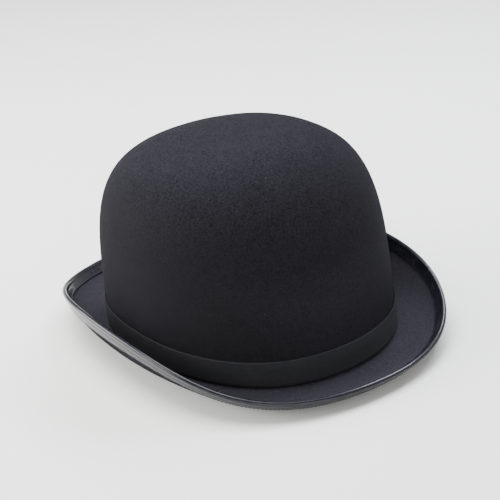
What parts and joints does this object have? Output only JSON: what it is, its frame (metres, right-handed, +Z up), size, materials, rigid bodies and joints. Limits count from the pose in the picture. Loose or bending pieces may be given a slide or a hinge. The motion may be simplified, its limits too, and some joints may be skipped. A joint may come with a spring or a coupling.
{
  "type": "bowler hat",
  "caption": "Stiff felt bowler hat: domed crown, curled bound brim, ribbon band with flat bow, leather sweatband and satin lining.",
  "frame": {"origin": "on the surface the hat stands on, under the middle of its bounding box", "axes": "+Z up through the crown, -Y towards the front of the hat, +X towards the wearer's left"},
  "size_m": [0.218, 0.279, 0.1313],
  "materials": {
    "black_felt": "matt brushed wool felt",
    "black_ribbon": "fine ribbed ribbon, low sheen",
    "black_satin_tape": "satin tape, bright highlights",
    "spring_wire": "drawn steel wire",
    "black_thread": "twisted thread",
    "brown_leather": "smooth leather",
    "brown_reed": "leather-covered reed",
    "black_satin_lining": "satin lining",
    "white_label": "blank woven label"
  },
  "bodies": {
    "hat": {"felt_body": "black_felt", "hat_band": "black_ribbon", "band_bow": "black_ribbon", "band_knot": "black_ribbon", "brim_binding": "black_satin_tape", "brim_wire": "spring_wire", "binding_stitch_upper": "black_thread", "binding_stitch_lower": "black_thread", "sweatband": "brown_leather", "sweatband_reed": "brown_reed", "sweatband_stitch": "black_thread", "sweatband_bow": "black_ribbon", "size_label": "white_label", "lining_side": "black_satin_lining", "lining_tip": "black_satin_lining", "lining_piping": "black_satin_lining"},
    "care_label": {"care_label": "white_label"}
  },
  "joints": [
    {"name": "care_label_swing", "type": "hinge", "parent": "hat", "child": "care_label", "pos_m": [0.08091, 0, 0.04323], "axis": [0, 1, 0], "range_deg": [0, 110]}
  ]
}
